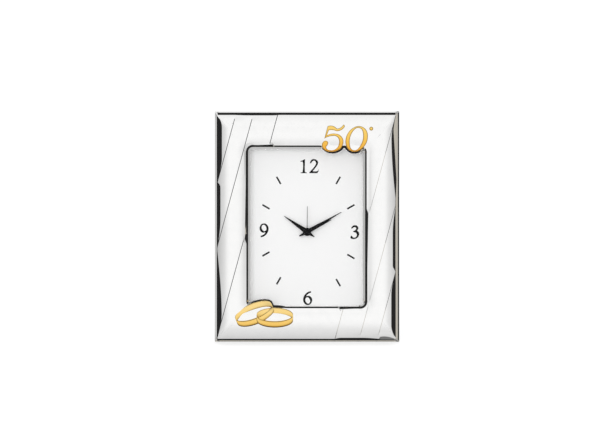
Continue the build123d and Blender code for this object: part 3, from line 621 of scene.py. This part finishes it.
def pillow(x, z):
    """Height of the crown, which falls towards the four edges and is rounded where two of them meet."""
    edges = ((HALF_WIDTH - SHOULDER_INSETS[0] - abs(x)) / CROWN_REACH[0],
             (HALF_HEIGHT - SHOULDER_INSETS[1] - abs(z)) / CROWN_REACH[1])
    falls = [max(1 - edge, 0) ** (2 * CROWN_CORNER) for edge in edges]
    return CROWN - (CROWN - SHOULDER) * sum(falls) ** (1 / CROWN_CORNER)


def inner_fall(x, z):
    """Fall of the crown towards the opening."""
    distance = lip_distance(x, z) - LIP_WIDTHS[0]
    return (CROWN - INNER_SHOULDER) * min(max(1 - distance / INNER_REACH, 0), 1) ** INNER_CURVE


def at_height(point, height):
    """Point of the face at a height before the back of the frame."""
    return Vector((point[0], -height, point[1]))


def rim_loops():
    """Outer wall, the two strips of the rim, the flank with its hollows and the shoulder."""
    outer = [width for width, _ in OUTER_STRIP]
    rim = [width + OUTER_STRIP[side][0] for side, (width, _) in enumerate(INNER_STRIP)]
    slopes = [[math.tan(math.radians(slope)) for _, slope in strip] for strip in (OUTER_STRIP, INNER_STRIP)]
    middle = [RIM_FRONT - INNER_STRIP[side][0] * slopes[1][side] for side in range(4)]
    edge = [middle[side] - outer[side] * slopes[0][side] for side in range(4)]
    plain = ((0.0, 0.0, 0.0), (0.0, edge, -EDGE_FALL), (EDGE_WIDTH, edge, EDGE_RISE),
             (outer, middle, -CREASE), (outer, middle, CREASE))
    loops = []
    for inset, height, raised in plain:
        inset = [inset] * 4 if isinstance(inset, float) else [width + 2 * raised for width in inset]
        height = [height] * 4 if isinstance(height, float) else height
        loops.append([at_height(round_point(sample, inset, RIM_RADIUS),
                                max(blended(height, sample) + raised, 0)) for sample in SAMPLES])
    feet, walls, flanks, shoulders = [], [], [], []
    for sample in SAMPLES:
        side, _, turn = sample
        inward = Vector(INWARD[side])
        foot = round_point(sample, rim, FLANK_RADIUS)
        shoulder = round_point(sample, SHOULDER_INSETS, FLANK_RADIUS)
        shift, depth, slope = hollow(sample, foot)
        out, ledge = min(shift, 0), max(shift, LEAST_LEDGE)
        strip = slopes[1][side]
        foot += out * inward
        shoulder += depth * inward
        width = max((shoulder - foot).dot(inward), ledge + LEAST_FLANK)
        if not turn:
            shoulder = foot + width * inward
        height = pillow(*shoulder)
        flank = height - slope * (width - ledge)
        feet.append(at_height(foot, RIM_FRONT + out * strip))
        walls.append(at_height(foot, flank - ledge * strip))
        flanks.append(at_height(foot + ledge * inward, flank))
        shoulders.append(at_height(shoulder, height))
    return loops + [feet, walls, flanks, shoulders]


def silver_face():
    """Stamped sheet: rim, flank, crown with its folds, lip and flange, closed on the inside."""
    loops = rim_loops()
    shoulder = loops[-1]
    lip, normals, lobes = lip_line()
    lip_widths, flanges = [], []
    for sample, point, lobe in zip(SAMPLES, lip, lobes):
        place = fold_place(*point)
        beyond = abs(place) - LIP_FOLDS[0 if place < 0 else 1]
        gain = eased(beyond / LIP_CHANGE) * (1 - LIP_LOSS * min(max(beyond, 0) / LIP_LOSS_REACH, 1))
        lip_widths.append(blended(LIP_WIDTHS, sample) + blended(LIP_GAINS, sample) * gain + LOBE_LIP * lobe)
        flange = blended(FLANGES, sample)
        flanges.append(flange + (LOBE_FLANGE - flange) * lobe)

    def lip_loop(share):
        """Loop at a share of the sloping lip's width."""
        return [at_height(point + share * width * normal, INNER_SHOULDER - (1 - share) * width * LIP_SLOPE)
                for point, normal, width in zip(lip, normals, lip_widths)]

    def flange_loop(share, offset, height):
        """Loop at a share of the flange's width before the lip, moved out by an offset."""
        return [at_height(point - (share * flange - offset) * normal, height)
                for point, normal, flange in zip(lip, normals, flanges)]

    inner = lip_loop(1.0)
    for step in range(1, CROWN_STATIONS):
        share = (step / CROWN_STATIONS) ** CROWN_CROWDING
        places = [out.lerp(into, share) for out, into in zip(shoulder, inner)]
        loops.append([at_height((x, z), pillow(x, z) - inner_fall(x, z)) for x, _, z in places])
    loops += [inner, lip_loop(0.0)]
    loops += [flange_loop(*station) for station in FLANGE_STATIONS]
    for inset, height in INSIDE_STATIONS:
        loops.append([at_height(round_point(sample, [inset] * 4, INSIDE_RADIUS), height)
                      for sample in SAMPLES])
    build = loft(loops)
    for side, ramp, offsets in zip((-1, 1), FOLD_RAMPS, FOLD_OFFSETS):
        for offset in offsets:
            for edge in (-ramp / 2, ramp / 2):
                everything = build.verts[:] + build.edges[:] + build.faces[:]
                bmesh.ops.bisect_plane(build, geom=everything, dist=FOLD_SNAP, plane_no=(1, 0, -FOLD_SLOPE),
                                       plane_co=(side * (offset + edge), 0, 0))
    for vertex in build.verts:
        vertex.co.y -= fold_lift(vertex.co.x, vertex.co.z) * grown(-vertex.co.y, FOLD_FRONT)
    return mesh_from("silver_sheet", build)


add_piece("silver_sheet", silver_face(), materials["silver"], ("silver_face",), sharp=9)


# Gilt ornaments

# Numerals: front, depth and rounding of the edge
GILT_NUMERALS = {"numeral_five": (25.3, 4.6, 0.95), "numeral_zero": (25.3, 4.6, 0.95),
                 "degree_dot": (25.3, 3.2, 1.2)}
# Rings: points round and across the band, its height, tilt, and how much smaller the far wall is
RING_STEPS, RING_PROFILE = 120, 10
RING_LEVEL, RING_DEPTH, RING_WALL = 23.6, 0.6, 1.2
# Bulge of the far and the near wall, its curve, and the rounding of the band's edges
RING_BULGE, RING_CURVE = (0.4, 1.2), 2.6
RING_ROUND, RING_ROUND_FROM, RING_ROUND_REACH = 0.5, 0.8, 0.2
RING_BACK, RING_BACK_SHARE = 20.6, 0.98
# Where each ring rises over or dips under the other: place round it in degrees, amount
WEAVE_CURVE = 6
RING_WEAVE = {"ring_left": ((12, 1.0), (-48, -0.9)), "ring_right": ((197, 1.0), (110, -0.1))}


def band_ring(name):
    """Band ring seen from above, in relief: the near wall stands forward and bulges more than the far."""
    x, z, half_width, half_height, turn = RINGS[name]
    cosine, sine = math.cos(math.radians(turn)), math.sin(math.radians(turn))

    def turned(along, across, height):
        """Point of the turned ring in its place on the face."""
        return at_height((x + along * cosine - across * sine, z + along * sine + across * cosine), height)

    profiles = []
    for step in range(RING_STEPS):
        around = math.radians(360 * step / RING_STEPS)
        near = (1 - math.sin(around)) / 2
        wall = RING_WALL * (1 - near)
        along, up = (half_width - wall) * math.cos(around), (half_height - wall / 2) * math.sin(around)
        level = RING_LEVEL - RING_DEPTH * math.sin(around)
        for place, amount in RING_WEAVE[name]:
            level += amount * max(math.cos(around - math.radians(place)), 0) ** WEAVE_CURVE
        bulge = RING_BULGE[0] + (RING_BULGE[1] - RING_BULGE[0]) * near
        profile = []
        for count in range(RING_PROFILE + 1):
            share = 2 * count / RING_PROFILE - 1
            rounding = RING_ROUND * max(abs(share) - RING_ROUND_FROM, 0) / RING_ROUND_REACH
            height = level + bulge * (1 - abs(share) ** RING_CURVE) - rounding
            profile.append(turned(along, up + share * RING_BAND / 2, height))
        for share in (1, -1):
            profile.append(turned(along, up + share * RING_BAND / 2 * RING_BACK_SHARE, RING_BACK))
        profiles.append(profile)
    return mesh_from(name, loft(profiles))


for node, (front, depth, bevel) in GILT_NUMERALS.items():
    outlines = [polyline([Vector(point) + NUMERAL_SHIFT for point in loop]) for loop in front_loops(node)]
    solid = filled(node, outlines, front, depth, bevel)
    add_piece("gilt_" + node, solid, materials["gilt"], (node,), sharp=40)
for node in RINGS:
    add_piece("gilt_" + node, band_ring(node), gilt_rings, (node,), sharp=50)


# Dial print: outlines of the numerals in units of their height, about their middle line

ONE = ((0.085, 1.0, 1), (0.076, 0.88), (0.075, 0.12), (0.1, 0.045), (0.2, 0.03, 1), (0.2, 0.0, 1),
       (-0.22, 0.0, 1), (-0.22, 0.03, 1), (-0.11, 0.045), (-0.075, 0.12), (-0.075, 0.83), (-0.12, 0.845),
       (-0.225, 0.84, 1), (-0.225, 0.875, 1), (-0.08, 0.925), (0.05, 1.0, 1))
TWO = ((-0.287, 0.73, 1), (-0.268, 0.824), (-0.169, 0.97), (0.0, 1.01), (0.16, 0.965), (0.28, 0.80),
       (0.252, 0.635), (0.113, 0.42), (-0.13, 0.115, 1), (0.2, 0.115), (0.285, 0.15), (0.336, 0.225, 1),
       (0.29, 0.082), (0.22, 0.0, 1), (-0.334, 0.0, 1), (-0.334, 0.045, 1), (-0.216, 0.17), (-0.02, 0.39),
       (0.136, 0.62), (0.15, 0.775), (0.078, 0.893), (-0.028, 0.918), (-0.146, 0.85), (-0.228, 0.73, 1))
THREE = ((-0.243, 0.8, 1), (-0.2, 0.88), (-0.093, 0.975), (0.036, 1.0), (0.164, 0.96), (0.25, 0.85),
         (0.24, 0.72), (0.164, 0.636, 1), (0.264, 0.525), (0.321, 0.393), (0.293, 0.236), (0.193, 0.1),
         (0.036, 0.018), (-0.136, 0.01), (-0.279, 0.055), (-0.3, 0.1), (-0.25, 0.236, 1), (-0.2, 0.195),
         (-0.136, 0.115), (-0.021, 0.083), (0.093, 0.13), (0.164, 0.236), (0.171, 0.35), (0.107, 0.45),
         (0.0, 0.505), (-0.1, 0.52, 1), (-0.114, 0.545, 1), (-0.05, 0.579), (0.05, 0.64), (0.115, 0.72),
         (0.12, 0.807), (0.064, 0.87), (-0.021, 0.885), (-0.107, 0.85), (-0.193, 0.764, 1))
SIX = ((0.225, 0.985, 1), (0.24, 0.91, 1), (0.174, 0.875), (0.043, 0.815), (-0.072, 0.7), (-0.12, 0.59, 1),
       (0.043, 0.645), (0.159, 0.616), (0.275, 0.5), (0.319, 0.341), (0.283, 0.181), (0.174, 0.036),
       (0.014, -0.012), (-0.13, 0.016), (-0.261, 0.152), (-0.319, 0.326), (-0.304, 0.5), (-0.232, 0.674),
       (-0.101, 0.833), (0.043, 0.928))
SIX_EYE = ((0.0, 0.55), (0.116, 0.465), (0.188, 0.312), (0.174, 0.167), (0.087, 0.07), (-0.014, 0.07),
           (-0.116, 0.152), (-0.181, 0.297), (-0.181, 0.42), (-0.116, 0.52))


def half_turn(outline):
    """Outline turned half round, as a nine is a six."""
    return tuple((-x, 1 - z, *corner) for x, z, *corner in outline)


# Numerals: hour, outlines, shift of each outline from the numeral's middle, and shift of that from the oval
PRINTED = {"print_twelve": (0, (ONE, TWO), (-6.2, 4.9), (1.19, -1.13)),
           "print_three": (3, (THREE,), (0.0,), (0.55, -1.25)),
           "print_six": (6, (SIX, SIX_EYE), (0.0, 0.0), (-0.8, -1.1)),
           "print_nine": (9, (half_turn(SIX), half_turn(SIX_EYE)), (0.0, 0.0), (1.5, 0.5))}
DASH_HOURS = (1, 2, 4, 5, 7, 8, 10, 11)


def print_place(hours):
    """Point of the print oval at an hour, on the face, and the angle of the hour."""
    angle = math.radians(30 * hours)
    a, b = PRINT_OVAL
    reach = a * b / math.hypot(b * math.sin(angle), a * math.cos(angle))
    return PRINT_PLACE[0] + reach * math.sin(angle), PRINT_PLACE[1] + reach * math.cos(angle), angle


def numeral(name, hours, outlines, shifts, nudge):
    """Printed numeral from one or more outlines."""
    x, z, _ = print_place(hours)
    x, z = x + nudge[0], z + nudge[1]
    splines = []
    for outline, shift in zip(outlines, shifts):
        points = [(x + shift + NUMERAL_HEIGHT * u, z + NUMERAL_HEIGHT * (v - 0.5), *corner)
                  for u, v, *corner in outline]
        splines.append(smooth_line(points))
    mesh = filled(name, splines, PRINT_FRONT, PRINT_DEPTH, 0.0, PRINT_SPREAD)
    add_piece(name, mesh, materials["hand_black"])


def dash_outline(hours):
    """Corners of the dash at an hour, which points to the middle of the print."""
    x, z, angle = print_place(hours)
    out = Vector((math.sin(angle), math.cos(angle)))
    side = Vector((math.cos(angle), -math.sin(angle)))
    if abs(out.y) > abs(out.x):
        x += DASH_SPREAD * out.x
    else:
        z -= DASH_GATHER * out.y
    if out.y < 0:
        z -= DASH_TILT * x
    half_length, half_width = DASH_SIZE[0] / 2, DASH_SIZE[1] / 2
    return [(x + out.x * p * half_length + side.x * q * half_width,
             z + out.y * p * half_length + side.y * q * half_width)
            for p, q in ((-1, -1), (1, -1), (1, 1), (-1, 1))]


for name, layout in PRINTED.items():
    numeral(name, *layout)
dashes = filled("print_dashes", [polyline(dash_outline(hours)) for hours in DASH_HOURS], PRINT_FRONT,
                PRINT_DEPTH, 0.0)
add_piece("print_dashes", dashes, materials["hand_black"])


# Floor, light and camera

# Photograph: its size, the middle of the face in it, and the metres that a pixel covers on the face
IMAGE_WIDTH, IMAGE_HEIGHT = 600, 427
FACE_PIXEL = (307.1, 226.45)
PIXEL = 0.001084
CAMERA_DISTANCE = 5.0
SENSOR = 36.0
# Floor: how far it reaches in metres, its glow in the picture and the glow that lights the clock
FLOOR_REACH = 6.0
FLOOR_GLOW, FLOOR_BOUNCE = 0.75, 0.3
# Lamp, in metres and watts
LAMP_PLACE, LAMP_TARGET = (-0.4, -2.4, 0.6), Vector((0, 0, 0.12))
LAMP_SIZE, LAMP_POWER = 2.0, 27.0
# Strength of the white room on the clock and in the picture
ROOM_LIGHT, ROOM_SEEN = 0.8, 1.0
# Tones that polished metal mirrors, from behind the clock at 0 to straight before its face at 1
BEIGE = (0.52, 0.49, 0.43)
STEEP = ((0.0, 1.0), (0.08, 1.0), (0.17, 0.02), (0.6, 0.02))
AROUND = STEEP + ((0.7, 0.2), (0.78, 0.36), (0.87, 0.54), (0.93, 0.68), (0.96, 0.77),
                  (0.985, 0.93), (1.0, 1.0))
ABOVE = STEEP + ((0.68, 0.4), (0.72, 0.66), (0.78, 0.82), (0.87, 0.9), (0.95, 0.98), (1.0, 1.0))
BELOW = STEEP + ((0.7, 0.2), (0.74, BEIGE), (0.8, BEIGE), (0.83, 0.54), (0.9, 0.72), (0.96, 0.82),
                 (0.985, 0.92), (1.0, 1.0))
RIGHT = STEEP + ((0.63, BEIGE), (0.7, BEIGE), (0.74, 0.33), (0.82, 0.48), (0.9, 0.67), (0.96, 0.8),
                 (0.98, 0.87), (0.995, 0.95), (1.0, 1.0))
# Direction in which each of these takes over from the tones around, and where it starts and is complete
TAKEOVERS = (("Z", (0.25, 0.5), ABOVE), ("Z", (0.2, -0.1), BELOW), ("X", (0.15, 0.5), RIGHT))


def floor():
    """Pale floor that shows white where it is not in the clock's shadow."""
    mesh = bpy.data.meshes.new("floor")
    build = bmesh.new()
    bmesh.ops.create_grid(build, x_segments=8, y_segments=8, size=FLOOR_REACH)
    build.to_mesh(mesh)
    build.free()
    plane = bpy.data.objects.new("floor", mesh)
    scene.collection.objects.link(plane)
    material = surface("pale_floor", (0.37, 0.37, 0.37), (0.39, 0.39, 0.39), roughness=(0.8, 0.9), grain=20)
    nodes, links = material.node_tree.nodes, material.node_tree.links
    shader = nodes["Principled BSDF"]
    shader.inputs["Specular IOR Level"].default_value = 0.0
    shader.inputs["Emission Color"].default_value = (1, 1, 1, 1)
    rays = nodes.new("ShaderNodeLightPath")
    bounced = add_node(nodes, "ShaderNodeMath", operation="MULTIPLY")
    bounced.inputs[1].default_value = FLOOR_BOUNCE
    seen = add_node(nodes, "ShaderNodeMath", operation="MULTIPLY_ADD")
    seen.inputs[1].default_value = FLOOR_GLOW
    links.new(rays.outputs["Is Diffuse Ray"], bounced.inputs[0])
    links.new(rays.outputs["Is Camera Ray"], seen.inputs[0])
    links.new(bounced.outputs["Value"], seen.inputs[2])
    links.new(seen.outputs["Value"], shader.inputs["Emission Strength"])
    mesh.materials.append(material)
    plane.visible_glossy = False


def tone_ramp(nodes, links, share, tones):
    """Colour through (share, tone) stops, a tone being a grey or a colour."""
    stops = [(stop, tone if isinstance(tone, tuple) else (tone, tone, tone)) for stop, tone in tones]
    ramp = ramp_node(nodes, stops)
    links.new(share.outputs["Result"], ramp.inputs["Fac"])
    return ramp.outputs["Color"]


def studio():
    """White room; polished metal sees it darken to the sides, and turn beige to the right and below."""
    world = bpy.data.worlds.new("studio")
    scene.world = world
    world.use_nodes = True
    nodes, links = world.node_tree.nodes, world.node_tree.links
    plain = nodes["Background"]
    plain.inputs["Color"].default_value = (1, 1, 1, 1)
    mirrored = nodes.new("ShaderNodeBackground")
    rays = nodes.new("ShaderNodeLightPath")
    seen = add_node(nodes, "ShaderNodeMath", operation="MAXIMUM")
    strength = add_node(nodes, "ShaderNodeMapRange", To_Min=ROOM_LIGHT, To_Max=ROOM_SEEN)
    place = nodes.new("ShaderNodeTexCoord")
    forward = add_node(nodes, "ShaderNodeVectorMath", operation="DOT_PRODUCT")
    forward.inputs[1].default_value = FACE_NORMAL
    share = add_node(nodes, "ShaderNodeMapRange", From_Min=-1.0, From_Max=1.0)
    split = nodes.new("ShaderNodeSeparateXYZ")
    tone = tone_ramp(nodes, links, share, AROUND)
    for axis, (start, complete), tones in TAKEOVERS:
        towards = add_node(nodes, "ShaderNodeMapRange", From_Min=start, From_Max=complete)
        mixed = mix_node(nodes, "MIX")
        links.new(split.outputs[axis], towards.inputs["Value"])
        links.new(towards.outputs["Result"], colour_input(mixed, "Factor"))
        links.new(tone, colour_input(mixed, "A"))
        links.new(tone_ramp(nodes, links, share, tones), colour_input(mixed, "B"))
        tone = colour_output(mixed)
    mix = nodes.new("ShaderNodeMixShader")
    links.new(rays.outputs["Is Camera Ray"], seen.inputs[0])
    links.new(rays.outputs["Is Transmission Ray"], seen.inputs[1])
    links.new(seen.outputs["Value"], strength.inputs["Value"])
    links.new(strength.outputs["Result"], plain.inputs["Strength"])
    links.new(place.outputs["Generated"], forward.inputs[0])
    links.new(forward.outputs["Value"], share.inputs["Value"])
    links.new(place.outputs["Generated"], split.inputs["Vector"])
    links.new(tone, mirrored.inputs["Color"])
    links.new(rays.outputs["Is Glossy Ray"], mix.inputs["Fac"])
    links.new(plain.outputs["Background"], mix.inputs[1])
    links.new(mirrored.outputs["Background"], mix.inputs[2])
    links.new(mix.outputs["Shader"], nodes["World Output"].inputs["Surface"])


def soft_lamp():
    """Broad soft lamp before the face, to its left and above, that polished metal does not mirror."""
    light = bpy.data.lights.new("soft_lamp", "AREA")
    light.shape = "SQUARE"
    light.size = LAMP_SIZE
    light.energy = LAMP_POWER
    lamp = bpy.data.objects.new("soft_lamp", light)
    lamp.location = LAMP_PLACE
    lamp.visible_glossy = False
    lamp.rotation_euler = (LAMP_TARGET - lamp.location).to_track_quat("-Z", "Y").to_euler()
    scene.collection.objects.link(lamp)


def camera():
    """Camera straight before the face, moved aside so that the face lies where the photograph has it."""
    data = bpy.data.cameras.new("camera")
    data.sensor_width = SENSOR
    data.lens = SENSOR * CAMERA_DISTANCE / (IMAGE_WIDTH * PIXEL)
    view = bpy.data.objects.new("camera", data)
    scene.collection.objects.link(view)
    turn = (-FACE_NORMAL).to_track_quat("-Z", "Y")
    shift = Vector((IMAGE_WIDTH / 2 - FACE_PIXEL[0], FACE_PIXEL[1] - IMAGE_HEIGHT / 2, 0)) * PIXEL
    view.location = FACE @ Vector((0, -RIM_FRONT, 0)) + FACE_NORMAL * CAMERA_DISTANCE + turn @ shift
    view.rotation_euler = turn.to_euler()
    scene.camera = view


floor()
studio()
soft_lamp()
camera()
scene.view_settings.view_transform = "Standard"
